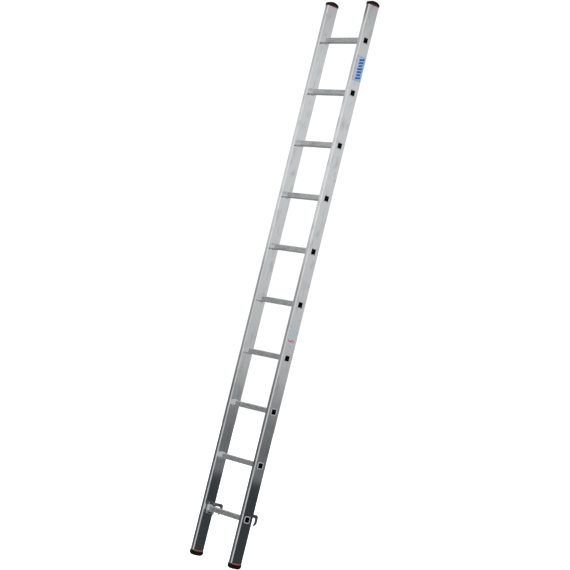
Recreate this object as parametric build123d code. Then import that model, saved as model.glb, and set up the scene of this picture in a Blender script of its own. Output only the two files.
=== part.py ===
from build123d import *
import os

# One hook-on section of an aluminium extension ladder, standing upright on its feet.
# X runs across the ladder, +Y is the back (the side that the hooks reach to), +Z is up.
# The origin is on the floor, midway between the stiles, and midway between the front of
# the feet and the back of the hooks.

# ---- Driving dimensions, in millimetres ------------------------------------------------

# The section
rung_count = 10
rung_pitch = 280.0
overall_width = 366.0
stile_below_first_rung = 226.0
stile_above_last_rung = 186.0

# Stile extrusion
stile_depth = 70.0
stile_thickness = 25.0
stile_wall = 2.0
stile_corner = 6.0

# Rung tube and its flared joints
rung_size = 28.0
rung_wall = 2.0
rung_corner = 4.0
rung_clearance = 0.1
groove_count = 5
groove_pitch = 3.8
groove_width = 1.4
groove_depth = 0.7
bead_spread = 4.2
bead_thickness = 2.5
bead_corner = 11.0
bead_rounding = 0.9
flange_thickness = 1.8
mouth_rounding = 2.2

# End caps: a plug with a crowned collar, and a crowned tread on it
plug_clearance = 0.3
plug_wall = 2.5
plug_depth = 40.0
cap_overhang_x = 1.4
cap_overhang_y = 2.5
collar_edge = 1.6
collar_crown = 6.5
foot_height = 28.5
foot_shoulder = 17.0
foot_flat = 24.0
top_height = 24.0
top_shoulder = 11.5
top_flat = 4.0
tread_side_rounding = 5.0
foot_groove_count = 5
foot_groove_pitch = 6.0
foot_groove_width = 2.0
foot_groove_depth = 1.2

# Hooks on the lowest rung
hook_thickness = 5.0
hook_margin = 3.2
hook_web = 6.0
hook_corner = 6.0
hook_edge = 0.6
mating_rung = 28.0
throat_clearance = 7.0
mouth_clearance = 1.5
throat_top = 15.0
hook_arm_height = 17.0
hook_back_thickness = 14.0
hook_tip_drop = 10.0

# Blind rivets
rivet_radius = 2.4
rivet_clearance = 0.05
rivet_head_radius = 4.6
rivet_head_height = 1.6
rivet_bulb_radius = 3.6
rivet_bulb_length = 4.0
rivet_core_radius = 1.1
rivet_core_depth = 0.9
rivet_gap = 1.4
rivet_edge_inset = 10.5

# Adhesive labels on the right stile
label_thickness = 0.25
label_margin = 1.0
label_corner = 8.0
label_length = 130.0
label_centre_in_pitches = -0.536  # above the last rung
sticker_length = 96.0
sticker_corner = 4.0
sticker_centre_in_pitches = 3.43  # above the first rung

# ---- Sizes and places worked out from them ------------------------------------------------

stile_bottom = foot_height
first_rung_z = stile_bottom + stile_below_first_rung
last_rung_z = first_rung_z + (rung_count - 1) * rung_pitch
stile_top = last_rung_z + stile_above_last_rung
stile_length = stile_top - stile_bottom
stile_outer_x = overall_width / 2
stile_inner_x = stile_outer_x - stile_thickness
stile_x = (stile_outer_x + stile_inner_x) / 2

throat_width = mating_rung + throat_clearance
mouth_width = mating_rung + mouth_clearance
hook_reach = stile_depth / 2 + throat_width + hook_back_thickness
feet_reach = stile_depth / 2 + cap_overhang_y
stile_y = (feet_reach - hook_reach) / 2

rung_hole = rung_size + 2 * rung_clearance
rung_bore = rung_size - 2 * rung_wall
bead_size = rung_size + 2 * bead_spread

rivet_z = bead_size / 2 + rivet_gap + rivet_head_radius
rivet_front_y = -(rung_size / 2 + hook_web) + hook_margin + 1.5 * rivet_head_radius
rivet_back_y = stile_depth / 2 - rivet_edge_inset
rivet_places = [(y, z) for y in (rivet_front_y, rivet_back_y) for z in (-rivet_z, rivet_z)]

cap_width = stile_thickness + 2 * cap_overhang_x
cap_depth = stile_depth + 2 * cap_overhang_y
cap_corner = stile_corner + cap_overhang_x
label_width = stile_depth - 2 * stile_corner - 2 * label_margin


# ---- Helpers ----------------------------------------------------------------------------


def prism_x(outline, x_low, x_high):
    """Draw a flat outline, given in (y, z), along X from x_low to x_high."""
    return extrude(Plane.YZ.offset(x_low) * outline, amount=x_high - x_low)


def span(side, near, far):
    """The two X values of a stretch from near to far, on the side that is -1 or +1."""
    return sorted((side * near, side * far))


def rod_x(radius, side, near, far, y, z):
    """A round rod along X at (y, z), from near to far on one side."""
    x_low, x_high = span(side, near, far)
    return prism_x(Pos(y, z) * Circle(radius), x_low, x_high)


# ---- Stiles -----------------------------------------------------------------------------


def make_stile(side, rung_heights):
    """A hollow extrusion, with a hole for each rung and for each rivet of its hook."""
    outer = RectangleRounded(stile_thickness, stile_depth, stile_corner)
    inner = RectangleRounded(
        stile_thickness - 2 * stile_wall,
        stile_depth - 2 * stile_wall,
        stile_corner - stile_wall,
    )
    stile = extrude(Pos(side * stile_x, stile_y, stile_bottom) * (outer - inner), amount=stile_length)
    hole = RectangleRounded(rung_hole, rung_hole, rung_corner + rung_clearance)
    x_low, x_high = span(side, stile_inner_x - 1, stile_outer_x + 1)
    near, far = stile_inner_x - 1, stile_inner_x + stile_wall + 1
    cuts = [prism_x(Pos(stile_y, z) * hole, x_low, x_high) for z in rung_heights]
    for y, z in rivet_places:
        cuts.append(rod_x(rivet_radius, side, near, far, stile_y + y, first_rung_z + z))
    return stile - cuts


# ---- Rungs ------------------------------------------------------------------------------


def rung_section():
    """The rung's outline: a rounded square with fine grooves along each of its faces."""
    section = RectangleRounded(rung_size, rung_size, rung_corner)
    groove = Rectangle(groove_width, 2 * groove_depth)
    offsets = [(index - (groove_count - 1) / 2) * groove_pitch for index in range(groove_count)]
    turns = [Rot(0, 0, 90 * turn) for turn in range(4)]
    return section - [turn * Pos(offset, rung_size / 2) * groove for turn in turns for offset in offsets]


def make_bead(side, near, thickness):
    """A flared rounded-square collar with rolled edges, from near outwards by its thickness."""
    x_low, x_high = span(side, near, near + thickness)
    bead = prism_x(RectangleRounded(bead_size, bead_size, bead_corner), x_low, x_high)
    rounding = min(bead_rounding, 0.45 * thickness)
    return fillet(bead.faces().filter_by(Axis.X).edges(), rounding)


def make_rung(inner_seat):
    """A square tube on the X axis, with a bead on each side of both walls of both stiles.

    inner_seat is how far the innermost beads stand off the stiles' inner faces.
    """
    x_end = stile_outer_x + flange_thickness
    beads = []
    for side in (-1, 1):
        beads.append(make_bead(side, stile_inner_x - inner_seat - bead_thickness, bead_thickness))
        beads.append(make_bead(side, stile_inner_x + stile_wall, bead_thickness))
        beads.append(make_bead(side, stile_outer_x - stile_wall - bead_thickness, bead_thickness))
        beads.append(make_bead(side, stile_outer_x, flange_thickness))
    bore = RectangleRounded(rung_bore, rung_bore, rung_corner - rung_wall)
    rung = prism_x(rung_section(), -x_end, x_end) + beads - prism_x(bore, -x_end, x_end)
    mouths = rung.faces().filter_by(Axis.X).sort_by(Axis.X)
    lips = [wire for face in (mouths[0], mouths[-1]) for wire in face.inner_wires()]
    return fillet([edge for wire in lips for edge in wire.edges()], mouth_rounding)


# ---- End caps ---------------------------------------------------------------------------


def crown_outline(half_width, edge, crown, flat):
    """A side view in (y, z): straight sides up to edge, then arcs up to a flat at crown."""
    rise = crown - edge
    run = half_width - flat / 2
    radius = (run**2 + rise**2) / (2 * rise)
    near_crown = radius - (radius**2 - (run / 2) ** 2) ** 0.5
    middle = (flat / 2 + run / 2, crown - near_crown)
    sides = [
        Line((-half_width, 0), (half_width, 0)),
        Line((half_width, 0), (half_width, edge)),
        ThreePointArc((half_width, edge), middle, (flat / 2, crown)),
        Line((flat / 2, crown), (-flat / 2, crown)),
        ThreePointArc((-flat / 2, crown), (-middle[0], middle[1]), (-half_width, edge)),
        Line((-half_width, edge), (-half_width, 0)),
    ]
    return make_face(sides)


def make_collar():
    """The visible part of a plug, on the stile's end at z = 0 and crowned along its depth."""
    plan = RectangleRounded(cap_width, cap_depth, cap_corner)
    body = extrude(plan, amount=collar_crown + 1)
    outline = crown_outline(cap_depth / 2 + 1, collar_edge, collar_crown, top_flat)
    return body & prism_x(outline, -cap_width, cap_width)


def make_plug():
    """A collar with a hollow, cross-webbed insert that goes down into the stile."""
    width = stile_thickness - 2 * stile_wall - 2 * plug_clearance
    depth = stile_depth - 2 * stile_wall - 2 * plug_clearance
    corner = stile_corner - stile_wall - plug_clearance
    outer = RectangleRounded(width, depth, corner)
    inner = RectangleRounded(width - 2 * plug_wall, depth - 2 * plug_wall, corner / 2)
    webs = Rectangle(plug_wall, depth - plug_wall) + Rectangle(width - plug_wall, plug_wall)
    insert = extrude(Pos(0, 0, -plug_depth) * (outer - inner + webs), amount=plug_depth)
    return make_collar() + insert


def make_tread(height, shoulder, flat, groove_count_across):
    """The crowned cover on a collar, with rounded long edges and grooves across its crown."""
    plan = RectangleRounded(cap_width, cap_depth, cap_corner)
    body = extrude(plan, amount=height)
    outline = crown_outline(cap_depth / 2 + 1, shoulder, height, flat)
    tread = body & prism_x(outline, -cap_width, cap_width)
    end_view = Rectangle(cap_width, 2 * height)
    end_view = fillet(end_view.vertices(), tread_side_rounding)
    tread &= extrude(Plane.XZ.offset(-cap_depth) * end_view, amount=2 * cap_depth)
    tread -= make_collar()
    for index in range(groove_count_across):
        y = (index - (groove_count_across - 1) / 2) * foot_groove_pitch
        groove = Box(2 * cap_width, foot_groove_width, 2 * foot_groove_depth)
        tread -= Pos(0, y, height) * groove
    return tread


def place_top(piece, side):
    """Put an end-cap piece on the top end of a stile."""
    return Pos(side * stile_x, stile_y, stile_top) * piece


def place_foot(piece, side):
    """Turn an end-cap piece over and put it on the bottom end of a stile."""
    return Pos(side * stile_x, stile_y, stile_bottom) * Rot(180, 0, 0) * piece


# ---- Hooks and rivets -------------------------------------------------------------------


def hook_outline():
    """The hook in (y, z) from the lowest rung's axis: a plate, an arm and a down-turned tip."""
    plate_front = -(rung_size / 2 + hook_web)
    plate_back = stile_depth / 2
    plate_low = -(rivet_z + rivet_head_radius + hook_margin)
    arm_top = throat_top + hook_arm_height
    throat_back = plate_back + throat_width
    hook_back = throat_back + hook_back_thickness
    tip_y = plate_back + mouth_width
    points = [
        (plate_front, plate_low),
        (plate_back, plate_low),
        (plate_back, throat_top),
        (throat_back, throat_top),
        (throat_back, -hook_tip_drop),
        (tip_y, -hook_tip_drop - hook_back_thickness + 3),
        (tip_y + 5, -hook_tip_drop - hook_back_thickness - 4),
        (hook_back, -hook_tip_drop - 2),
        (hook_back, arm_top),
        (plate_front, arm_top),
    ]
    radii = [hook_corner, 2, 3, 9, 9, 1.5, 1.5, 12, hook_back_thickness, hook_corner]
    return make_face(FilletPolyline(*points, radius=radii, close=True))


def make_hook(side):
    """A thick plate on the stile's inner face, which the lowest rung passes through."""
    x_low, x_high = span(side, stile_inner_x - hook_thickness, stile_inner_x)
    hook = prism_x(Pos(stile_y, first_rung_z) * hook_outline(), x_low, x_high)
    hook = chamfer(hook.faces().filter_by(Axis.X).edges(), hook_edge)
    hole = RectangleRounded(rung_hole, rung_hole, rung_corner + rung_clearance)
    hook -= prism_x(Pos(stile_y, first_rung_z) * hole, x_low - 1, x_high + 1)
    for y, z in rivet_places:
        near, far = stile_inner_x - hook_thickness - 1, stile_inner_x + 1
        hook -= rod_x(rivet_radius, side, near, far, stile_y + y, first_rung_z + z)
    return hook


def make_rivet(side, y, z):
    """A blind rivet: a domed head on the hook, a shank, and a bulb inside the stile."""
    head_x = stile_inner_x - hook_thickness
    bulb_x = stile_inner_x + stile_wall
    head = rod_x(rivet_head_radius, side, head_x - rivet_head_height, head_x, y, z)
    outside = head.faces().sort_by(Axis.X)[0 if side > 0 else -1]
    head = fillet(outside.edges(), 0.8 * rivet_head_height)
    rivet = head + rod_x(rivet_radius - rivet_clearance, side, head_x, bulb_x, y, z)
    bulb = rod_x(rivet_bulb_radius, side, bulb_x, bulb_x + rivet_bulb_length, y, z)
    rivet += fillet(bulb.faces().filter_by(Axis.X).edges(), 0.3 * rivet_bulb_length)
    core_near = head_x - rivet_head_height
    rivet -= rod_x(rivet_core_radius, side, core_near, core_near + rivet_core_depth, y, z)
    return rivet


def make_rivets(side):
    """The four rivets of one hook, as separate solids."""
    rivets = [make_rivet(side, stile_y + y, first_rung_z + z) for y, z in rivet_places]
    return Compound(children=rivets)


# ---- Labels -----------------------------------------------------------------------------


def make_label(length, corner, z):
    """A thin rounded film on the right stile's flat outer face."""
    outline = Pos(stile_y, z) * RectangleRounded(label_width, length, corner)
    return prism_x(outline, stile_outer_x, stile_outer_x + label_thickness)


# ---- The assembly -----------------------------------------------------------------------


def make_parts():
    """Every node's name and shape."""
    rung_heights = [first_rung_z + index * rung_pitch for index in range(rung_count)]
    lowest_rung = make_rung(hook_thickness)
    plain_rung = make_rung(0)
    parts = {}
    for index, z in enumerate(rung_heights):
        rung = lowest_rung if index == 0 else plain_rung
        parts[f"rung_{index + 1:02d}"] = Pos(0, stile_y, z) * rung
    plug = make_plug()
    foot_tread = make_tread(foot_height, foot_shoulder, foot_flat, foot_groove_count)
    top_cover = make_tread(top_height, top_shoulder, top_flat, 0)
    for name, side in (("left", -1), ("right", 1)):
        parts[f"stile_{name}"] = make_stile(side, rung_heights)
        parts[f"foot_plug_{name}"] = place_foot(plug, side)
        parts[f"foot_tread_{name}"] = place_foot(foot_tread, side)
        parts[f"top_plug_{name}"] = place_top(plug, side)
        parts[f"top_cap_{name}"] = place_top(top_cover, side)
        parts[f"hook_{name}"] = make_hook(side)
        parts[f"hook_rivets_{name}"] = make_rivets(side)
    label_z = last_rung_z + label_centre_in_pitches * rung_pitch
    sticker_z = first_rung_z + sticker_centre_in_pitches * rung_pitch
    parts["maker_label"] = make_label(label_length, label_corner, label_z)
    parts["care_sticker"] = make_label(sticker_length, sticker_corner, sticker_z)
    return parts


def main():
    """Write one STEP file for each node."""
    os.makedirs("parts", exist_ok=True)
    for name, shape in make_parts().items():
        export_step(shape, f"parts/{name}.step")


if __name__ == "__main__":
    main()
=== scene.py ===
import logging
import math
from dataclasses import dataclass
from enum import Enum

import bmesh
import bpy
import numpy as np
from mathutils import Matrix, Vector


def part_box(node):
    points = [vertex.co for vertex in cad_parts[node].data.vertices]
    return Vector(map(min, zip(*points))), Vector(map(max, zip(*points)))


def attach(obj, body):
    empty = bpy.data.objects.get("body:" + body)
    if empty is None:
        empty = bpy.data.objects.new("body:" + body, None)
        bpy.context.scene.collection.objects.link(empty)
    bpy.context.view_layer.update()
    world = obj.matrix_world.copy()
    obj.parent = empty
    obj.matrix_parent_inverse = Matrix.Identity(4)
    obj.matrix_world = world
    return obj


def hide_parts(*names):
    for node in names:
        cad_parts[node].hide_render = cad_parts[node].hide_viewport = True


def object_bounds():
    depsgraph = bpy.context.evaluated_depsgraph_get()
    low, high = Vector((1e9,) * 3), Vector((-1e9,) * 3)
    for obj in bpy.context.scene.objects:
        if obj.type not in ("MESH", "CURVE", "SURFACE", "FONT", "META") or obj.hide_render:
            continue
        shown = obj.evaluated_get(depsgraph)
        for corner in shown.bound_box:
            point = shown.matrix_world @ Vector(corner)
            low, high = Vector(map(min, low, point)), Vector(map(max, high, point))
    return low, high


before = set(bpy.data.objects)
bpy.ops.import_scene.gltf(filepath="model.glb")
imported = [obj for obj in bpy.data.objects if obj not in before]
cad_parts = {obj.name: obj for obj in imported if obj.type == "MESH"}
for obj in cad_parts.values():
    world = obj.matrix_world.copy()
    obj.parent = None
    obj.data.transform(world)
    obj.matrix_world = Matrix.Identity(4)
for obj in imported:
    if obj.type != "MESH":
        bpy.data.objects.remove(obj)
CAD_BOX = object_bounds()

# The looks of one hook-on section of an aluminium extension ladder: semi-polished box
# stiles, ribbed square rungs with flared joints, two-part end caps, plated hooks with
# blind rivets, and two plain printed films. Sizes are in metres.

LOG = logging.getLogger("ladder")
MM = 0.001
BODY = "root"
Colour = tuple[float, float, float]
Ink = Colour | bpy.types.NodeSocket
Span = tuple[float, float]
WHOLE: Span = (0.0, 1.0)
NOISE_SPAN: Span = (0.3, 0.7)  # where a noise pattern's values mostly lie


class Side(Enum):
    """The two sides of the ladder, as the sign of X there."""

    LEFT = -1
    RIGHT = 1

    @property
    def word(self) -> str:
        """The side's name as the nodes spell it."""
        return self.name.lower()


class Grain(Enum):
    """The way that an extrusion's die lines run."""

    ALONG_X = "X"
    ALONG_Z = "Z"

    def stretch(self, across: float, along: float) -> tuple[float, float, float]:
        """Scales for a pattern that is fine across the grain and long along it.

        Args:
            across: repeats per metre across the grain.
            along: repeats per metre along the grain.

        Returns:
            The scale for each axis.
        """
        return (along, across, across) if self is Grain.ALONG_X else (across, across, along)


# ---- Mesh helpers ---------------------------------------------------------------------


def grid_object(name: str, grid: np.ndarray, wrap_rows: bool, wrap_columns: bool) -> bpy.types.Object:
    """Make a mesh of four-sided faces from a grid of points.

    Args:
        name: the piece's name.
        grid: points, shaped (rows, columns, 3).
        wrap_rows: whether the last row joins the first.
        wrap_columns: whether the last column joins the first.

    Returns:
        The new object, at the origin.
    """
    rows, columns = grid.shape[:2]
    index = np.arange(rows * columns).reshape(rows, columns)
    if wrap_rows:
        index = np.vstack([index, index[:1]])
    if wrap_columns:
        index = np.hstack([index, index[:, :1]])
    corners = (index[:-1, :-1], index[1:, :-1], index[1:, 1:], index[:-1, 1:])
    quads = np.stack(corners, axis=-1).reshape(-1, 4)
    mesh = bpy.data.meshes.new(name)
    mesh.from_pydata(grid.reshape(-1, 3), [], quads)
    mesh.update()
    piece = bpy.data.objects.new(name, mesh)
    bpy.context.scene.collection.objects.link(piece)
    return piece


def tidy_shell(piece: bpy.types.Object, merge: float, sharp_degrees: float) -> None:
    """Merge doubled points, close holes, turn faces outwards and shade the piece smoothly.

    Args:
        piece: the object to tidy.
        merge: the distance under which points are one.
        sharp_degrees: edges that turn by more than this stay sharp.
    """
    shell = bmesh.new()
    shell.from_mesh(piece.data)
    bmesh.ops.remove_doubles(shell, verts=shell.verts, dist=merge)
    open_edges = [edge for edge in shell.edges if len(edge.link_faces) == 1]
    if open_edges:
        bmesh.ops.holes_fill(shell, edges=open_edges, sides=0)
    bmesh.ops.recalc_face_normals(shell, faces=shell.faces)
    shell.to_mesh(piece.data)
    shell.free()
    piece.data.shade_smooth()
    piece.data.set_sharp_from_angle(angle=math.radians(sharp_degrees))


def quarter_arc(centre: tuple[float, float], radii: tuple[float, float], turn: tuple[float, float],
                steps: int) -> np.ndarray:
    """Points on an ellipse's arc: centre plus radii times cosine and sine of the angle.

    Args:
        centre: the ellipse's centre.
        radii: its two radii.
        turn: the first and last angle, in degrees.
        steps: how many points.

    Returns:
        The points, shaped (steps, 2).
    """
    angle = np.radians(np.linspace(turn[0], turn[1], steps))
    return np.stack([centre[0] + radii[0] * np.cos(angle), centre[1] + radii[1] * np.sin(angle)], axis=1)


def smooth_mask(distance: np.ndarray, soft: float) -> np.ndarray:
    """1 where a distance is well below zero, 0 where it is above, with a smooth step between."""
    t = np.clip(0.5 - distance / soft, 0.0, 1.0)
    return t * t * (3 - 2 * t)


def box_distance(x: np.ndarray, y: np.ndarray, half: tuple[float, float], corner: float) -> np.ndarray:
    """Distance outside a rounded box: the length of what passes its inner corners, less the radius.

    Args:
        x: offsets from the box's middle, across.
        y: offsets from the box's middle, along.
        half: the box's half sizes.
        corner: its corner radius.

    Returns:
        The signed distance, negative inside.
    """
    dx = np.abs(x) - half[0] + corner
    dy = np.abs(y) - half[1] + corner
    return np.hypot(np.maximum(dx, 0), np.maximum(dy, 0)) + np.minimum(np.maximum(dx, dy), 0) - corner


# ---- Shader helpers -------------------------------------------------------------------


class Graph:
    """A node tree, with short calls for the nodes that finishes and surroundings share."""

    def __init__(self, tree: bpy.types.NodeTree) -> None:
        """Hold the tree's nodes and links."""
        self.nodes = tree.nodes
        self.links = tree.links

    def ranged(self, value: bpy.types.NodeSocket, source: Span, target: Span) -> bpy.types.NodeSocket:
        """Stretch a value from one range to another, held at the ends.

        Args:
            value: the socket to read.
            source: the range it has.
            target: the range it gets.

        Returns:
            The socket with the result.
        """
        node = self.nodes.new("ShaderNodeMapRange")
        for name, number in zip(("From Min", "From Max", "To Min", "To Max"), (*source, *target)):
            node.inputs[name].default_value = number
        self.links.new(value, node.inputs["Value"])
        return node.outputs["Result"]

    def mixed(self, factor: bpy.types.NodeSocket, first: Ink, second: Ink) -> bpy.types.NodeSocket:
        """Mix two colours by a factor.

        Args:
            factor: the socket with the share of the second colour.
            first: the colour at 0, or the socket with it.
            second: the colour at 1, or the socket with it.

        Returns:
            The socket with the colour.
        """
        node = self.nodes.new("ShaderNodeMix")
        node.data_type = "RGBA"
        slots = {slot.name: slot for slot in node.inputs if slot.enabled}
        self.links.new(factor, slots["Factor"])
        for name, ink in (("A", first), ("B", second)):
            if isinstance(ink, bpy.types.NodeSocket):
                self.links.new(ink, slots[name])
            else:
                slots[name].default_value = (*ink, 1.0)
        return next(slot for slot in node.outputs if slot.enabled)


class ShaderGraph(Graph):
    """A material's node tree, with what the finishes use."""

    def __init__(self, name: str) -> None:
        """Start a material with one principled shader.

        Args:
            name: the material's name.
        """
        self.material = bpy.data.materials.new(name)
        self.material.use_nodes = True
        super().__init__(self.material.node_tree)
        self.shader = self.nodes["Principled BSDF"]
        self.places = self.nodes.new("ShaderNodeTexCoord").outputs["Object"]

    def constants(self, **values: float | Colour) -> None:
        """Set the shader's own sockets.

        Args:
            values: a number or a colour for each socket, an underscore in whose name is a space.
        """
        for name, value in values.items():
            socket = self.shader.inputs[name.replace("_", " ")]
            socket.default_value = (*value, 1.0) if isinstance(value, tuple) else value

    def noise(self, scale: tuple[float, float, float], detail: float = 3.0) -> bpy.types.NodeSocket:
        """A noise pattern on the piece's own coordinates.

        Args:
            scale: repeats per metre on each axis.
            detail: how many finer octaves it has.

        Returns:
            The socket with its value, from 0 to 1.
        """
        mapping = self.nodes.new("ShaderNodeMapping")
        mapping.inputs["Scale"].default_value = scale
        self.links.new(self.places, mapping.inputs["Vector"])
        pattern = self.nodes.new("ShaderNodeTexNoise")
        pattern.inputs["Scale"].default_value = 1.0
        pattern.inputs["Detail"].default_value = detail
        self.links.new(mapping.outputs["Vector"], pattern.inputs["Vector"])
        return pattern.outputs["Fac"]

    def bump(self, heights: list[tuple[bpy.types.NodeSocket, float]]) -> None:
        """Lay relief patterns on each other and give them to the shader.

        Args:
            heights: each pattern's socket, with its depth in metres.
        """
        below = None
        for socket, depth in heights:
            node = self.nodes.new("ShaderNodeBump")
            node.inputs["Distance"].default_value = depth
            self.links.new(socket, node.inputs["Height"])
            if below is not None:
                self.links.new(below, node.inputs["Normal"])
            below = node.outputs["Normal"]
        self.links.new(below, self.shader.inputs["Normal"])

    def give(self, socket: bpy.types.NodeSocket, name: str) -> None:
        """Join a socket to one of the shader's inputs."""
        self.links.new(socket, self.shader.inputs[name])


# ---- Finishes -------------------------------------------------------------------------


@dataclass(frozen=True)
class ExtrudedAluminium:
    """Semi-polished aluminium with fine die lines, slow waves and handling smudges."""

    name: str
    grain: Grain
    clean: Colour = (0.80, 0.81, 0.82)
    worn: Colour = (0.62, 0.635, 0.645)
    roughness: tuple[float, float] = (0.04, 0.075)
    anisotropy: float = 0.95
    line_depth: float = 0.0004 * MM
    wave_depth: float = 0.034 * MM

    def build(self) -> bpy.types.Material:
        """Make the material.

        Returns:
            Metal that reflects sharply along its grain and softly across it.
        """
        graph = ShaderGraph(self.name)
        graph.constants(Metallic=1.0, Anisotropic=self.anisotropy)
        tangent = graph.nodes.new("ShaderNodeTangent")
        tangent.direction_type = "RADIAL"
        tangent.axis = self.grain.value
        graph.give(tangent.outputs["Tangent"], "Tangent")
        smudge = graph.noise(self.grain.stretch(38.0, 14.0), 5.0)
        lines = graph.noise(self.grain.stretch(2600.0, 2.5), 2.0)
        waves = graph.noise(self.grain.stretch(22.0, 11.0), 1.0)
        graph.give(graph.mixed(graph.ranged(smudge, (0.52, 0.70), WHOLE), self.clean, self.worn),
                   "Base Color")
        graph.give(graph.ranged(smudge, NOISE_SPAN, self.roughness), "Roughness")
        graph.bump([(waves, self.wave_depth), (lines, self.line_depth)])
        return graph.material


@dataclass(frozen=True)
class MouldedPlastic:
    """Satin moulded plastic with a fine spark-eroded texture and a little scuffing."""

    name: str
    colour: Colour
    scuffed: Colour
    roughness: tuple[float, float] = (0.38, 0.52)
    gloss: float = 0.4
    pebble_depth: float = 0.03 * MM

    def build(self) -> bpy.types.Material:
        """Make the material.

        Returns:
            The finish, ready to give to a piece.
        """
        graph = ShaderGraph(self.name)
        graph.constants(IOR=1.5, Specular_IOR_Level=self.gloss)
        scuff = graph.noise((60.0, 60.0, 90.0), 5.0)
        pebble = graph.noise((900.0, 900.0, 900.0), 2.0)
        graph.give(graph.mixed(graph.ranged(scuff, (0.5, 0.8), WHOLE), self.colour, self.scuffed),
                   "Base Color")
        graph.give(graph.ranged(scuff, NOISE_SPAN, self.roughness), "Roughness")
        graph.bump([(pebble, self.pebble_depth)])
        return graph.material


@dataclass(frozen=True)
class PlatedSteel:
    """Dark plated steel plate: mottled, half glossy, and lighter where it is rubbed."""

    name: str
    colour: Colour = (0.09, 0.095, 0.105)
    rubbed: Colour = (0.22, 0.225, 0.24)

    def build(self) -> bpy.types.Material:
        """Make the material.

        Returns:
            The finish, ready to give to a piece.
        """
        graph = ShaderGraph(self.name)
        graph.constants(Metallic=0.9)
        mottle = graph.noise((140.0, 140.0, 140.0), 4.0)
        grit = graph.noise((1500.0, 1500.0, 1500.0), 2.0)
        graph.give(graph.mixed(graph.ranged(mottle, (0.45, 0.75), WHOLE), self.colour, self.rubbed),
                   "Base Color")
        graph.give(graph.ranged(mottle, NOISE_SPAN, (0.3, 0.48)), "Roughness")
        graph.bump([(grit, 0.01 * MM)])
        return graph.material


@dataclass(frozen=True)
class DrawnRivet:
    """Bright drawn metal with turned rings too fine to see from afar."""

    name: str
    colour: Colour = (0.72, 0.72, 0.72)

    def build(self) -> bpy.types.Material:
        """Make the material.

        Returns:
            The finish, ready to give to a piece.
        """
        graph = ShaderGraph(self.name)
        graph.constants(Metallic=1.0)
        tarnish = graph.noise((400.0, 400.0, 400.0), 3.0)
        graph.give(graph.mixed(tarnish, self.colour, tuple(0.7 * part for part in self.colour)), "Base Color")
        graph.give(graph.ranged(tarnish, NOISE_SPAN, (0.22, 0.4)), "Roughness")
        graph.bump([(tarnish, 0.02 * MM)])
        return graph.material


@dataclass(frozen=True)
class PrintedFilm:
    """Glossy adhesive film, whose print is a colour held at each point of its mesh."""

    name: str
    layer: str = "print"

    def build(self) -> bpy.types.Material:
        """Make the material.

        Returns:
            The finish, ready to give to a piece.
        """
        graph = ShaderGraph(self.name)
        graph.constants(IOR=1.46)
        ink = graph.nodes.new("ShaderNodeAttribute")
        ink.attribute_name = self.layer
        graph.give(ink.outputs["Color"], "Base Color")
        ripple = graph.noise((70.0, 70.0, 40.0), 2.0)
        graph.give(graph.ranged(ripple, NOISE_SPAN, (0.3, 0.42)), "Roughness")
        graph.bump([(ripple, 0.05 * MM)])
        return graph.material


def dress(piece: bpy.types.Object, material: bpy.types.Material) -> None:
    """Give every face of a piece one material."""
    piece.data.materials.clear()
    piece.data.materials.append(material)


# ---- Sub-assemblies -------------------------------------------------------------------


@dataclass
class Stiles:
    """The two box extrusions, as the frame holds them: they keep their CAD shape."""

    finish: ExtrudedAluminium

    def build(self) -> None:
        """Dress both stiles."""
        material = self.finish.build()
        for side in Side:
            dress(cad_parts[f"stile_{side.word}"], material)
            LOG.info("stile %s dressed in %s", side.word, material.name)


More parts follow.
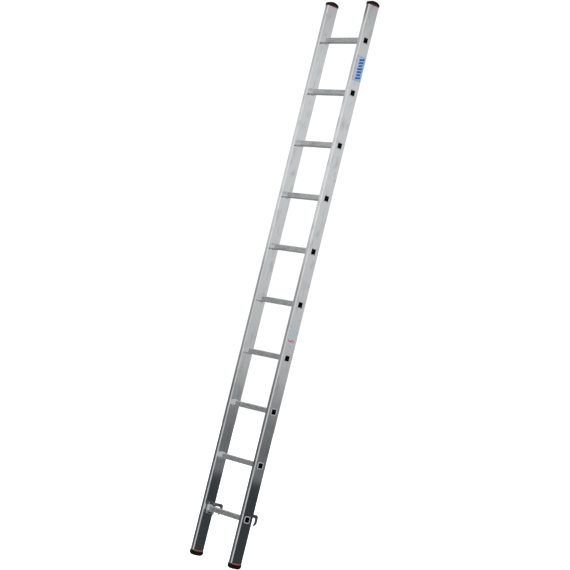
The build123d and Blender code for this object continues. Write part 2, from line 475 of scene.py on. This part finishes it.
@dataclass
class Rungs:
    """Square tubes with fine ribs, flared on both sides of each wall that they pass through."""

    finish: ExtrudedAluminium
    count: int = 10
    half_size: float = 14.0 * MM
    wall: float = 2.0 * MM
    corner: float = 4.0 * MM
    rib_pitch: float = 2.4 * MM
    rib_depth: float = 0.14 * MM
    rib_band: float = 9.6 * MM
    stile_wall: float = 2.0 * MM
    bead_spread: float = 4.2 * MM
    bead_width: float = 2.5 * MM
    flange: float = 1.8 * MM
    mouth: float = 2.2 * MM
    throat: float = 0.7 * MM
    flare_length: float = 12.0 * MM
    bead_fullness: float = 0.72
    rib_fade: float = 1.5 * MM
    groove_power: int = 10
    flat_steps: int = 84
    corner_steps: int = 7
    bead_steps: int = 13
    rim_steps: int = 7
    lip_steps: int = 9

    def section(self) -> tuple[np.ndarray, np.ndarray, np.ndarray]:
        """Points round the tube in (y, z), their outward directions, and the ribs' depth there.

        One side is a straight run and a quarter turn, and the others are it turned by 90
        degrees. Between the ribs are grooves: a raised cosine of the place along the straight
        run, to the groove power, which leaves flat ribs and narrow grooves.

        Returns:
            Points (n, 2), directions (n, 2) and rib depths (n,).
        """
        reach = self.half_size - self.corner
        run = np.linspace(-reach, reach, self.flat_steps, endpoint=False)
        turn = np.radians(np.linspace(90.0, 0.0, self.corner_steps, endpoint=False))
        line = np.stack([run, np.full_like(run, self.half_size)], axis=1)
        arc_out = np.stack([np.cos(turn), np.sin(turn)], axis=1)
        points = np.concatenate([line, reach + self.corner * arc_out])
        out = np.concatenate([np.tile([0.0, 1.0], (len(run), 1)), arc_out])
        wave = (0.5 - 0.5 * np.cos(2 * np.pi * run / self.rib_pitch)) ** self.groove_power
        depth = np.concatenate([np.where(np.abs(run) <= self.rib_band, wave, 0.0), np.zeros(len(turn))])
        spins = [np.array([[math.cos(a), -math.sin(a)], [math.sin(a), math.cos(a)]])
                 for a in -np.pi / 2 * np.arange(4)]
        return (np.concatenate([points @ spin.T for spin in spins]),
                np.concatenate([out @ spin.T for spin in spins]),
                self.rib_depth * np.tile(depth, 4))

    def bead(self, low: float, high: float) -> np.ndarray:
        """A rolled bead from low to high along X: half a full ellipse standing off the tube.

        Args:
            low: where it starts.
            high: where it ends.

        Returns:
            Rows of X, offset and rib share.
        """
        angle = np.linspace(np.pi, 0.0, self.bead_steps)
        x = (low + high) / 2 + (high - low) / 2 * np.cos(angle)
        offset = self.bead_spread * np.sin(angle) ** self.bead_fullness
        return np.stack([x, offset, np.zeros_like(x)], axis=1)

    def profile(self, seat: float) -> np.ndarray:
        """The path from the middle out over the beads, round the end's lip and back inside.

        Args:
            seat: how far the innermost bead stands off the stile's inner face.

        Returns:
            Rows of X, offset and rib share, for the right half.
        """
        low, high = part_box("stile_right")
        inner, outer = low.x, high.x
        end = outer + self.flange
        first = inner - seat - self.bead_width
        tube = np.array([[0.0, 0.0, 1.0], [first / 2, 0.0, 1.0], [first - self.rib_fade, 0.0, 1.0]])
        rim = quarter_arc((outer, self.bead_spread - self.flange), (self.flange, self.flange),
                          (90.0, 0.0), self.rim_steps)
        lip = quarter_arc((end - self.mouth, self.mouth - self.throat), (self.mouth, self.mouth),
                          (0.0, -90.0), self.lip_steps)
        face = np.concatenate([[[outer, 0.0]], rim, lip])
        bore = np.array([[end - self.flare_length, -self.wall], [first / 2, -self.wall], [0.0, -self.wall]])
        return np.concatenate([
            tube,
            self.bead(first, inner - seat),
            self.bead(inner + self.stile_wall, inner + self.stile_wall + self.bead_width),
            self.bead(outer - self.stile_wall - self.bead_width, outer - self.stile_wall),
            np.pad(face, ((0, 0), (0, 1))),
            np.pad(bore, ((0, 0), (0, 1))),
        ])

    def build(self) -> None:
        """Make the rungs: the section, pushed out by each station's offset, carried along X."""
        material = self.finish.build()
        points, out, ribs = self.section()
        hook_low, hook_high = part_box("hook_right")
        for number in range(1, self.count + 1):
            node = f"rung_{number:02d}"
            seat = hook_high.x - hook_low.x if number == 1 else 0.0
            right = self.profile(seat)
            left = right[::-1][1:-1] * (-1, 1, 1)
            path = np.concatenate([right, left])
            low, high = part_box(node)
            middle = (low + high) / 2
            shift = path[:, 1, None] - ribs * path[:, 2, None]
            grid = np.empty((len(path), len(points), 3))
            grid[..., 0] = path[:, 0, None]
            grid[..., 1:] = points + out * shift[..., None] + (middle.y, middle.z)
            piece = grid_object(f"flared_{node}", grid, wrap_rows=True, wrap_columns=True)
            tidy_shell(piece, merge=0.001 * MM, sharp_degrees=50.0)
            dress(piece, material)
            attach(piece, BODY)
            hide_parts(node)
            LOG.info("%s stands for %s with %d faces", piece.name, node, len(piece.data.polygons))


@dataclass
class Tread:
    """A crowned rubber cover: walls up from the collar's crown, a rounded rim and a crowned top."""

    prefix: str
    height: float
    shoulder: float
    flat: float
    grooves: int
    upwards: bool
    collar_edge: float = 1.6 * MM
    collar_crown: float = 6.5 * MM
    collar_flat: float = 4.0 * MM
    corner: float = 7.4 * MM
    rim: float = 3.6 * MM
    seam: float = 0.5 * MM
    groove_pitch: float = 6.0 * MM
    groove_width: float = 2.0 * MM
    groove_depth: float = 1.0 * MM
    groove_soft: float = 0.5 * MM
    groove_start: float = 0.3
    middle_gap: float = 0.02 * MM
    side_steps: int = 180
    end_steps: int = 40
    corner_steps: int = 12
    rim_steps: int = 9
    top_steps: int = 12

    def crown(self, y: np.ndarray, half: float, edge: float, top: float, flat: float) -> np.ndarray:
        """Height across the depth: flat in the middle, then a circle that falls to edge at half.

        Args:
            y: places across the depth.
            half: half the depth.
            edge: the height at half.
            top: the height in the middle.
            flat: how wide the middle is.

        Returns:
            The height at each place.
        """
        run, rise = half - flat / 2, top - edge
        radius = (run**2 + rise**2) / (2 * rise)
        past = np.clip(np.abs(y) - flat / 2, 0.0, run)
        return top - radius + np.sqrt(radius**2 - past**2)

    def ring(self, half_x: float, half_y: float, inset: float) -> np.ndarray:
        """A rounded rectangle's outline, drawn in by an inset.

        Args:
            half_x: half its width.
            half_y: half its depth.
            inset: how far it is drawn in.

        Returns:
            Its points, shaped (n, 2), in order.
        """
        a, b = half_x - inset, half_y - inset
        r = min(self.corner, a)
        long_run = np.linspace(-1.0, 1.0, self.side_steps, endpoint=False) * (b - r)
        short_run = np.linspace(-1.0, 1.0, self.end_steps, endpoint=False) * (a - r)
        turn = np.radians(np.linspace(0.0, 90.0, self.corner_steps, endpoint=False))
        c, s = r * np.cos(turn), r * np.sin(turn)
        parts = [
            np.stack([np.full_like(long_run, a), long_run], axis=1),
            np.stack([a - r + c, b - r + s], axis=1),
            np.stack([-short_run, np.full_like(short_run, b)], axis=1),
            np.stack([-(a - r) - s, b - r + c], axis=1),
            np.stack([np.full_like(long_run, -a), -long_run], axis=1),
            np.stack([-(a - r) - c, -(b - r) - s], axis=1),
            np.stack([short_run, np.full_like(short_run, -b)], axis=1),
            np.stack([a - r + s, -(b - r) - c], axis=1),
        ]
        return np.concatenate(parts)

    def groove(self, y: np.ndarray) -> np.ndarray:
        """Depth of the cross grooves: a flat bottom with a smooth step on both sides.

        Args:
            y: places across the depth.

        Returns:
            The depth at each place.
        """
        total = np.zeros_like(y)
        for index in range(self.grooves):
            place = (index - (self.grooves - 1) / 2) * self.groove_pitch
            outside = np.abs(y - place) - self.groove_width / 2
            total = np.maximum(total, smooth_mask(outside, self.groove_soft))
        return self.groove_depth * total

    def surface(self, half_x: float, half_y: float) -> np.ndarray:
        """Rings from the collar's crown up the wall, over the rim, and in to the middle.

        On the rim the height falls by a quarter circle of the inset. Past it the rings
        shrink onto the middle line, and the grooves start at a share of the rim.

        Args:
            half_x: half the cap's width.
            half_y: half the cap's depth.

        Returns:
            The grid of points, with z = 0 at the stile's end and rising outwards.
        """
        rows = []
        for inset, lift in ((self.seam, 0.0), (0.0, self.seam)):
            flat_ring = self.ring(half_x, half_y, inset)
            z = self.crown(flat_ring[:, 1], half_y, self.collar_edge, self.collar_crown, self.collar_flat)
            rows.append(np.column_stack([flat_ring, z + lift]))
        rim_insets = self.rim * (1 - np.cos(np.radians(np.linspace(0.0, 90.0, self.rim_steps))))
        top_insets = np.linspace(self.rim, half_x - self.middle_gap, self.top_steps)[1:]
        for inset in (*rim_insets, *top_insets):
            flat_ring = self.ring(half_x, half_y, inset)
            y = flat_ring[:, 1]
            drop = self.rim - math.sqrt(max(self.rim**2 - max(self.rim - inset, 0.0) ** 2, 0.0))
            z = self.crown(y, half_y, self.shoulder, self.height, self.flat) - drop
            cut = self.groove(y) * (1.0 if inset > self.groove_start * self.rim else 0.0)
            rows.append(np.column_stack([flat_ring, z - cut]))
        return np.stack(rows)

    def build(self, material: bpy.types.Material, side: Side) -> None:
        """Make one tread and put it on its stile's end.

        Args:
            material: its finish.
            side: which stile it is on.
        """
        node = f"{self.prefix}_{side.word}"
        low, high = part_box(node)
        grid = self.surface((high.x - low.x) / 2, (high.y - low.y) / 2)
        stile_low, stile_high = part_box(f"stile_{side.word}")
        if self.upwards:
            grid[..., 2] += stile_high.z
        else:
            grid[..., 2] = stile_low.z - grid[..., 2]
        grid[..., 0] += (low.x + high.x) / 2
        grid[..., 1] += (low.y + high.y) / 2
        piece = grid_object(f"moulded_{node}", grid, wrap_rows=False, wrap_columns=True)
        tidy_shell(piece, merge=0.05 * MM, sharp_degrees=40.0)
        dress(piece, material)
        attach(piece, BODY)
        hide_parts(node)
        LOG.info("%s stands for %s with %d faces", piece.name, node, len(piece.data.polygons))


@dataclass
class EndCaps:
    """The plugs and the rubber covers at both ends of both stiles."""

    foot_plastic: MouldedPlastic
    # The top plugs' finish is the foot plugs' red painted darker as shade.
    top_plastic: MouldedPlastic
    foot_rubber: MouldedPlastic
    top_rubber: MouldedPlastic

    def build(self) -> None:
        """Dress the plugs and make the covers."""
        foot_plastic, top_plastic = self.foot_plastic.build(), self.top_plastic.build()
        foot_rubber, top_rubber = self.foot_rubber.build(), self.top_rubber.build()
        foot = Tread("foot_tread", height=28.5 * MM, shoulder=17.0 * MM, flat=24.0 * MM,
                     grooves=5, upwards=False)
        top = Tread("top_cap", height=24.0 * MM, shoulder=11.5 * MM, flat=4.0 * MM,
                    grooves=0, upwards=True)
        for side in Side:
            dress(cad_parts[f"foot_plug_{side.word}"], foot_plastic)
            dress(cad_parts[f"top_plug_{side.word}"], top_plastic)
            foot.build(foot_rubber, side)
            top.build(top_rubber, side)


@dataclass
class Hooks:
    """The plates that hang the section, and their rivets, as the frame holds them."""

    steel: PlatedSteel
    rivet: DrawnRivet

    def build(self) -> None:
        """Dress the hooks and the rivets."""
        steel, rivet = self.steel.build(), self.rivet.build()
        for side in Side:
            dress(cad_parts[f"hook_{side.word}"], steel)
            dress(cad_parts[f"hook_rivets_{side.word}"], rivet)
            LOG.info("hook and rivets %s dressed", side.word)


@dataclass
class Film:
    """An adhesive film on the right stile: a thin flat sheet with rounded corners and plain printed shapes.
    """

    node: str
    slot: str
    finish: PrintedFilm
    corner: float
    step: float = 0.6 * MM
    soft: float = 0.5 * MM

    def inks(self, across: np.ndarray, along: np.ndarray, half: tuple[float, float]) -> np.ndarray:
        """The printed colour at each place; each kind of film has its own.

        Args:
            across: offsets from the middle, towards the back.
            along: offsets from the middle, upwards.
            half: the film's half sizes.

        Returns:
            Colours, shaped like the places, with four parts.
        """
        raise NotImplementedError

    @staticmethod
    def lay(colours: np.ndarray, mask: np.ndarray, ink: Colour) -> None:
        """Print one ink over the colours where the mask is 1."""
        colours[..., :3] += mask[..., None] * (np.array(ink) - colours[..., :3])

    def build(self) -> None:
        """Make the film: a grid whose edge points are drawn in to the rounded outline."""
        low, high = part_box(self.node)
        half = ((high.y - low.y) / 2, (high.z - low.z) / 2)
        thickness = high.x - low.x
        u = np.linspace(-half[0], half[0], round(2 * half[0] / self.step) + 1)
        v = np.linspace(-half[1], half[1], round(2 * half[1] / self.step) + 1)
        across, along = np.meshgrid(u, v)
        inner = np.maximum(np.abs(along) - half[1] + self.corner, 0.0)
        room = half[0] - self.corner + np.sqrt(np.maximum(self.corner**2 - inner**2, 0.0))
        y = across * room / half[0]
        front = np.stack([np.full_like(y, high.x), y, along], axis=-1)
        back = front.copy()
        back[..., 0] = low.x
        sheet = np.concatenate([front, back[::-1]], axis=0)
        sheet[..., 1] += (low.y + high.y) / 2
        sheet[..., 2] += (low.z + high.z) / 2
        piece = grid_object(f"printed_{self.node}", sheet, wrap_rows=True, wrap_columns=False)
        colours = self.inks(y, along, half)
        both = np.concatenate([colours, colours[::-1]], axis=0)
        layer = piece.data.color_attributes.new(self.finish.layer, "FLOAT_COLOR", "POINT")
        layer.data.foreach_set("color", both.astype(np.float32).ravel())
        tidy_shell(piece, merge=0.001 * MM, sharp_degrees=40.0)
        dress(piece, self.finish.build())
        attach(piece, BODY)
        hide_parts(self.node)
        LOG.info("%s is %.0f by %.0f mm and %.2f mm thick", piece.name, 2000 * half[0], 2000 * half[1],
                 1000 * thickness)


@dataclass
class MakerLabel(Film):
    """A pale blue label with a lilac bar down its front side and plain dark bars beside it."""

    field_ink: Colour = (0.21, 0.33, 0.50)
    bar_ink: Colour = (0.31, 0.36, 0.46)
    mark_ink: Colour = (0.008, 0.065, 0.24)
    edge_ink: Colour = (0.16, 0.20, 0.26)
    bar_edge: float = -0.34
    marks: int = 7
    mark_column: float = 0.24
    mark_widths: tuple[float, ...] = (0.56, 0.44, 0.52)
    mark_height: float = 0.32
    mark_slant: float = 0.25
    mark_corner: float = 1.5 * MM
    end_margin: float = 9.0 * MM
    edge_inset: float = 2.6 * MM
    edge_half_width: float = 1.1 * MM

    def inks(self, across: np.ndarray, along: np.ndarray, half: tuple[float, float]) -> np.ndarray:
        """A field, a side bar, a column of slanted bars and a thin border.

        Args:
            across: offsets from the middle, towards the back.
            along: offsets from the middle, upwards.
            half: the film's half sizes.

        Returns:
            Colours, shaped like the places, with four parts.
        """
        colours = np.ones((*across.shape, 4))
        self.lay(colours, np.ones_like(across), self.field_ink)
        self.lay(colours, smooth_mask(across - self.bar_edge * half[0], self.soft), self.bar_ink)
        pitch = 2 * (half[1] - self.end_margin) / self.marks
        beside = across - self.mark_column * half[0]
        for index in range(self.marks):
            place = (index - (self.marks - 1) / 2) * pitch
            width = self.mark_widths[index % len(self.mark_widths)] * half[0]
            slanted = along - place - self.mark_slant * beside
            shape = box_distance(beside, slanted, (width, self.mark_height * pitch), self.mark_corner)
            self.lay(colours, smooth_mask(shape, self.soft), self.mark_ink)
        rim = box_distance(across, along, half, self.corner)
        self.lay(colours, smooth_mask(np.abs(rim + self.edge_inset) - self.edge_half_width, self.soft),
                 self.edge_ink)
        return colours


@dataclass
class CareSticker(Film):
    """A pale sticker with rows of faint dashes, and a rose chevron and disc below."""

    field_ink: Colour = (0.33, 0.36, 0.38)
    dash_ink: Colour = (0.12, 0.14, 0.17)
    rose_ink: Colour = (0.24, 0.02, 0.09)
    blush_ink: Colour = (0.44, 0.16, 0.26)
    rows: int = 4
    first_row: float = 0.55
    row_step: float = 0.2
    dash_pitch: float = 6.0 * MM
    dash_share: float = 0.3
    dash_half_height: float = 0.6 * MM
    dash_strength: float = 0.6
    shapes_below: float = 0.64
    shapes_aside: float = 0.35
    disc_radius: float = 10.0 * MM
    chevron_slope: float = 0.8
    chevron_drop: float = 5.0 * MM
    chevron_half_width: float = 3.4 * MM
    chevron_reach: float = 12.0 * MM

    def inks(self, across: np.ndarray, along: np.ndarray, half: tuple[float, float]) -> np.ndarray:
        """A field, rows of dashes in its middle, and two rose shapes at its foot.

        Args:
            across: offsets from the middle, towards the back.
            along: offsets from the middle, upwards.
            half: the film's half sizes.

        Returns:
            Colours, shaped like the places, with four parts.
        """
        colours = np.ones((*across.shape, 4))
        self.lay(colours, np.ones_like(across), self.field_ink)
        dashes = np.abs((across / self.dash_pitch) % 1.0 - 0.5) - self.dash_share
        for row in range(self.rows):
            place = (self.first_row - self.row_step * row) * half[1]
            line = np.maximum(np.abs(along - place) - self.dash_half_height, self.dash_pitch * dashes)
            self.lay(colours, self.dash_strength * smooth_mask(line, self.soft), self.dash_ink)
        low = along + self.shapes_below * half[1]
        disc = np.hypot(across - self.shapes_aside * half[0], low) - self.disc_radius
        self.lay(colours, smooth_mask(disc, self.soft), self.blush_ink)
        aside = np.abs(across + self.shapes_aside * half[0])
        chevron = np.abs(low - self.chevron_slope * aside + self.chevron_drop) - self.chevron_half_width
        shape = np.maximum(chevron, aside - self.chevron_reach)
        self.lay(colours, smooth_mask(shape, self.soft), self.rose_ink)
        return colours


# ---- Studio ---------------------------------------------------------------------------


@dataclass(frozen=True)
class Viewpoint:
    """Where the camera stands, from the lowest rung's middle, and how it is turned."""

    place: tuple[float, float, float] = (8.277, -6.229, 0.547)
    azimuth: float = 142.98
    elevation: float = 3.663
    roll: float = 13.91
    focal_length: float = 127.0
    clip_end: float = 200.0

    def build(self, middle: Vector) -> None:
        """Make the scene's camera.

        Args:
            middle: the lowest rung's middle.
        """
        camera = bpy.data.cameras.new("camera")
        camera.lens = self.focal_length
        camera.clip_end = self.clip_end
        holder = bpy.data.objects.new("camera", camera)
        bpy.context.scene.collection.objects.link(holder)
        a, e, r = (math.radians(angle) for angle in (self.azimuth, self.elevation, self.roll))
        ahead = Vector((math.cos(a) * math.cos(e), math.sin(a) * math.cos(e), math.sin(e)))
        level = ahead.cross(Vector((0, 0, 1))).normalized()
        above = level.cross(ahead)
        up = math.cos(r) * above - math.sin(r) * level
        right = ahead.cross(up)
        turn = Matrix((right, up, -ahead)).transposed().to_4x4()
        holder.matrix_world = Matrix.Translation(middle + Vector(self.place)) @ turn
        bpy.context.scene.camera = holder


@dataclass(frozen=True)
class Panel:
    """A part of the surround that faces one way: its brightness from the ground up."""

    azimuth: float
    half_width: float
    fade: float
    bands: tuple[Span, ...]


class Surround(Enum):
    """The studio's walls, each with (sine of elevation, brightness) from the ground up."""

    ROOM = Panel(0.0, 180.0, 0.0, (
        (-0.0348, 0.045), (-0.034, 0.20), (-0.018, 0.16), (-0.004, 0.22), (0.010, 0.36), (0.020, 0.48),
        (0.055, 0.60), (0.12, 0.68), (0.17, 0.69), (0.19, 0.60), (0.215, 0.42)))
    FRONT_LEFT = Panel(-143.0, 30.0, 7.0, (
        (-0.040, 0.14), (0.010, 0.17), (0.030, 0.32), (0.068, 0.30), (0.085, 0.70), (0.115, 0.86),
        (0.160, 0.84), (0.175, 0.62), (0.198, 0.62), (0.204, 0.06)))
    CAMERA_SIDE = Panel(-37.0, 58.0, 14.0, (
        (-0.040, 0.62), (0.0, 0.66), (0.06, 0.74), (0.10, 0.90), (0.215, 0.78)))
    BEHIND = Panel(150.0, 50.0, 25.0, (
        (-0.040, 0.03), (0.0, 0.16), (0.05, 0.42), (0.12, 0.55), (0.215, 0.34)))


class SurroundGraph(Graph):
    """The world's node tree, with what the studio's walls use."""

    def __init__(self, tree: bpy.types.NodeTree) -> None:
        """Empty the tree, and read the direction looked in.

        Args:
            tree: the world's node tree.
        """
        super().__init__(tree)
        self.nodes.clear()
        self.direction = self.nodes.new("ShaderNodeTexCoord").outputs["Generated"]
        split = self.nodes.new("ShaderNodeSeparateXYZ")
        self.links.new(self.direction, split.inputs["Vector"])
        self.height = split.outputs["Z"]

    def facing(self, panel: Panel) -> bpy.types.NodeSocket:
        """How far the direction is inside a panel, from 0 to 1.

        Args:
            panel: the panel.

        Returns:
            The socket with the share.
        """
        dot = self.nodes.new("ShaderNodeVectorMath")
        dot.operation = "DOT_PRODUCT"
        angle = math.radians(panel.azimuth)
        dot.inputs[1].default_value = (math.cos(angle), math.sin(angle), 0.0)
        self.links.new(self.direction, dot.inputs[0])
        outer = math.cos(math.radians(panel.half_width + panel.fade))
        inner = math.cos(math.radians(panel.half_width))
        return self.ranged(dot.outputs["Value"], (outer, inner), WHOLE)

    def ramp(self, value: bpy.types.NodeSocket, stops: list[Span]) -> bpy.types.NodeSocket:
        """A grey ramp, a little bluer where its grey is under a quarter.

        Args:
            value: the place on the ramp, from 0 to 1.
            stops: places and greys.

        Returns:
            The socket with the colour.
        """
        node = self.nodes.new("ShaderNodeValToRGB")
        steps = node.color_ramp.elements
        while len(steps) < len(stops):
            steps.new(0.5)
        for step, (place, grey) in zip(steps, stops):
            cool = max(0.0, 0.25 - grey) / 2
            step.position = place
            step.color = (grey * (1 - cool), grey, grey * (1 + cool), 1.0)
        self.links.new(value, node.inputs["Fac"])
        return node.outputs["Color"]

    def show(self, seen: bpy.types.NodeSocket, backdrop: float) -> None:
        """Give the camera a plain white, and every other ray the surround.

        Args:
            seen: the surround's colour.
            backdrop: how bright the white is.
        """
        lit = self.nodes.new("ShaderNodeBackground")
        self.links.new(seen, lit.inputs["Color"])
        white = self.nodes.new("ShaderNodeBackground")
        white.inputs["Color"].default_value = (1.0, 1.0, 1.0, 1.0)
        white.inputs["Strength"].default_value = backdrop
        choose = self.nodes.new("ShaderNodeMixShader")
        self.links.new(self.nodes.new("ShaderNodeLightPath").outputs["Is Camera Ray"], choose.inputs["Fac"])
        self.links.new(lit.outputs["Background"], choose.inputs[1])
        self.links.new(white.outputs["Background"], choose.inputs[2])
        self.links.new(choose.outputs["Shader"], self.nodes.new("ShaderNodeOutputWorld").inputs["Surface"])


@dataclass
class Studio:
    """A white sweep, a soft surround with a dark ground, and soft lights.

    Each of the reaches is a brightness, and the sines of the elevation where it starts and is
    whole: overhead, then the ground far below, in the ladder's shade, and straight down.
    """

    low_z: float = -0.06
    high_z: float = 0.24
    backdrop: float = 1.05
    reaches: tuple[tuple[float, Span], ...] = (
        (0.72, (0.25, 0.5)), (0.62, (-0.22, -0.32)), (0.08, (-0.47, -0.56)), (0.62, (-0.62, -0.70)))
    floor_size: float = 60.0
    floor_glow: float = 0.9

    def surround(self) -> None:
        """Make the world: white to the camera, and the studio's walls to everything else."""
        world = bpy.data.worlds.new("studio")
        bpy.context.scene.world = world
        world.use_nodes = True
        graph = SurroundGraph(world.node_tree)
        level = graph.ranged(graph.height, (self.low_z, self.high_z), WHOLE)
        seen = graph.ramp(level, self.stops(Surround.ROOM.value))
        for panel in (Surround.FRONT_LEFT.value, Surround.CAMERA_SIDE.value, Surround.BEHIND.value):
            seen = graph.mixed(graph.facing(panel), seen, graph.ramp(level, self.stops(panel)))
        for grey, reach in self.reaches:
            seen = graph.mixed(graph.ranged(graph.height, reach, WHOLE), seen, (grey, grey, grey))
        graph.show(seen, self.backdrop)

    def stops(self, panel: Panel) -> list[Span]:
        """A panel's bands, with each height as a share of the ramp's reach."""
        return [((place - self.low_z) / (self.high_z - self.low_z), grey) for place, grey in panel.bands]

    def floor(self) -> None:
        """Make the white floor, which mirrors don't see."""
        corners = np.array([[-1, -1, 0], [1, -1, 0], [-1, 1, 0], [1, 1, 0]], float).reshape(2, 2, 3)
        sheet = grid_object("floor", corners * self.floor_size, wrap_rows=False, wrap_columns=False)
        graph = ShaderGraph("floor_white")
        graph.constants(Roughness=0.9, Base_Color=(0.92, 0.92, 0.92), Emission_Color=(1.0, 1.0, 1.0),
                        Emission_Strength=self.floor_glow)
        dress(sheet, graph.material)
        sheet.visible_glossy = False

    @staticmethod
    def light(name: str, place: Vector, target: Vector, size: float, watts: float) -> None:
        """Add a soft square light.

        Args:
            name: its name.
            place: where it is.
            target: what it points at.
            size: its side.
            watts: its power.
        """
        lamp = bpy.data.lights.new(name, "AREA")
        lamp.shape = "SQUARE"
        lamp.size = size
        lamp.energy = watts
        holder = bpy.data.objects.new(name, lamp)
        bpy.context.scene.collection.objects.link(holder)
        turn = (target - place).to_track_quat("-Z", "Y")
        holder.matrix_world = Matrix.Translation(place) @ turn.to_matrix().to_4x4()
        holder.visible_glossy = False

    def build(self, middle: Vector) -> None:
        """Make the surround, the floor and the lights.

        Args:
            middle: the ladder's middle.
        """
        self.surround()
        self.floor()
        self.light("key", middle + Vector((2.5, -4.5, 3.0)), target=middle, size=2.5, watts=70.0)
        self.light("fill", middle + Vector((4.5, 3.0, 2.0)), target=middle, size=3.0, watts=25.0)


def main() -> None:
    """Build the camera, the studio and each sub-assembly in order."""
    logging.basicConfig(level=logging.INFO, format="%(name)s: %(message)s")
    bpy.context.scene.view_settings.view_transform = "Standard"
    low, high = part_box("rung_01")
    Viewpoint().build((low + high) / 2)
    Studio().build(Vector((0.0, 0.0, (CAD_BOX[0][2] + CAD_BOX[1][2]) / 2)))
    Stiles(ExtrudedAluminium("stile_aluminium", Grain.ALONG_Z)).build()
    Rungs(ExtrudedAluminium("rung_aluminium", Grain.ALONG_X, roughness=(0.15, 0.22), anisotropy=0.4,
                            line_depth=0.0008 * MM, wave_depth=0.005 * MM)).build()
    EndCaps(
        foot_plastic=MouldedPlastic("foot_plastic", colour=(0.22, 0.055, 0.022),
                                    scuffed=(0.30, 0.10, 0.05)),
        # The top plugs' dark red is painted shade: a darker copy of the foot plugs' red, standing in for the
        # shade that falls on the tops.
        top_plastic=MouldedPlastic("top_plastic", colour=(0.065, 0.006, 0.010),
                                   scuffed=(0.11, 0.02, 0.026)),
        foot_rubber=MouldedPlastic("tread_rubber", colour=(0.005, 0.005, 0.005),
                                   scuffed=(0.010, 0.010, 0.010), roughness=(0.6, 0.8), gloss=0.04),
        top_rubber=MouldedPlastic("cap_rubber", colour=(0.006, 0.005, 0.005),
                                  scuffed=(0.010, 0.009, 0.009), roughness=(0.55, 0.7), gloss=0.06),
    ).build()
    Hooks(PlatedSteel("hook_steel"), DrawnRivet("rivet_steel")).build()
    MakerLabel("maker_label", "label_film", PrintedFilm("label_film"), corner=8.0 * MM).build()
    CareSticker("care_sticker", "sticker_film", PrintedFilm("sticker_film"), corner=4.0 * MM).build()


if __name__ == "__main__":
    main()
